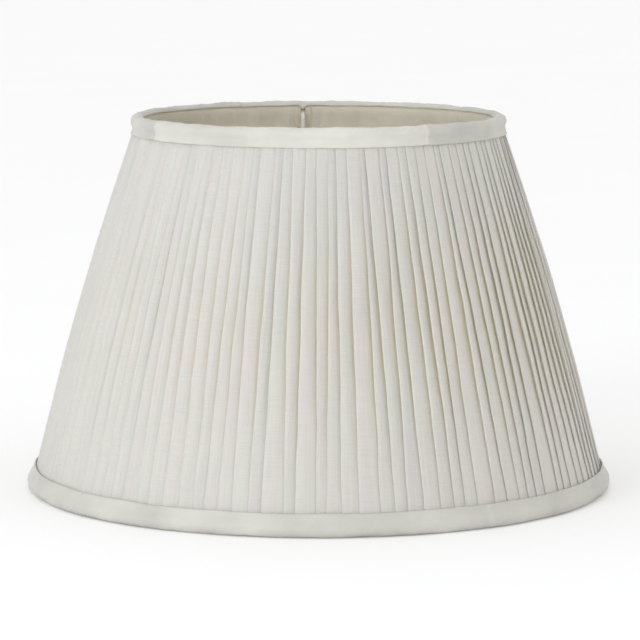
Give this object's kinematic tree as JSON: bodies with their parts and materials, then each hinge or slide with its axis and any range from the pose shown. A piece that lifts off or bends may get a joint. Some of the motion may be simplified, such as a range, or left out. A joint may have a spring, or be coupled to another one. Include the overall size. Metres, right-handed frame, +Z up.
{
  "type": "pleated lamp shade",
  "caption": "Tapered round lamp shade with knife-pleated ivory cloth on a wire frame, bound rims, soft lining and a reversible lamp fitting.",
  "frame": {"origin": "centre of the bottom rim, on the surface that the shade stands on", "axes": "+Z up along the shade's axis; the two fitting arms and the gimbal's pivot line lie along Y; +X to the right when the -Y side faces the viewer"},
  "size_m": [0.355, 0.355, 0.2258],
  "materials": {
    "frame_wire": "galvanised wire, satin",
    "fitting_wire": "white powder coat, satin",
    "reducer_plastic": "moulded, matt",
    "cotton_tape": "woven cotton tape",
    "pleated_cloth": "knife-pleated slub weave, matt",
    "trim_cloth": "bias-cut weave, soft sheen",
    "lining_cloth": "plain weave lining, matt"
  },
  "bodies": {
    "shade": {"top_ring": "frame_wire", "bottom_ring": "frame_wire", "strut_01": "frame_wire", "strut_02": "frame_wire", "strut_03": "frame_wire", "strut_04": "frame_wire", "strut_05": "frame_wire", "strut_06": "frame_wire", "strut_07": "frame_wire", "strut_08": "frame_wire", "strut_09": "frame_wire", "strut_10": "frame_wire", "strut_11": "frame_wire", "strut_12": "frame_wire", "fitting_arm_back": "fitting_wire", "fitting_arm_front": "fitting_wire", "top_ring_tape": "cotton_tape", "bottom_ring_tape": "cotton_tape", "pleated_cover": "pleated_cloth", "top_trim": "trim_cloth", "bottom_trim": "trim_cloth", "lining": "lining_cloth", "lining_patch_back": "lining_cloth", "lining_patch_front": "lining_cloth"},
    "gimbal": {"lamp_ring": "fitting_wire", "gimbal_wire_back": "fitting_wire", "gimbal_wire_front": "fitting_wire"},
    "reducer": {"reducer_ring": "reducer_plastic"}
  },
  "joints": [
    {"name": "gimbal_turn", "type": "hinge", "parent": "shade", "child": "gimbal", "pos_m": [0, 0, 0.20003], "axis": [0, 1, 0], "continuous": true},
    {"name": "reducer_lift", "type": "slide", "parent": "gimbal", "child": "reducer", "axis": [0, 0, 1], "range_m": [0, 0.08]}
  ]
}
